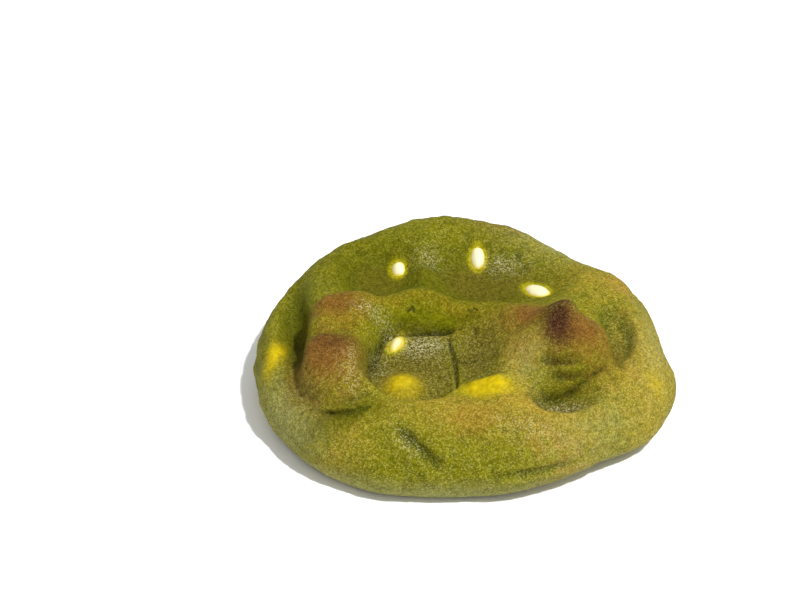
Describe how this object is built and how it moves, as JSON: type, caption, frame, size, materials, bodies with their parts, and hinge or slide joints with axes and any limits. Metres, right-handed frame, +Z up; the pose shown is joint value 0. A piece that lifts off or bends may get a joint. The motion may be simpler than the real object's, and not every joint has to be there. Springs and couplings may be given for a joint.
{
  "type": "white chocolate matcha cookie",
  "caption": "Thick soft-baked green tea cookie, lying flat, with folded knobs and hollows on top and white chocolate chips set in the dough.",
  "frame": {"origin": "middle of the bounding box on the flat underside, the surface the cookie rests on", "axes": "+Z up; +X towards the side with the tall browned knob; -Y towards the smooth front brow, and +Y towards the back hollows"},
  "size_m": [0.0948, 0.0892, 0.0262],
  "materials": {
    "dough": "matte baked green tea dough, fine grained, browned on the raised folds and moister in the hollows",
    "white_chocolate": "softly shiny white chocolate"
  },
  "bodies": {
    "root": {"dough": "dough", "chip_back_left": "white_chocolate", "chip_back": "white_chocolate", "chip_basin": "white_chocolate", "chip_pan": "white_chocolate"}
  },
  "joints": []
}
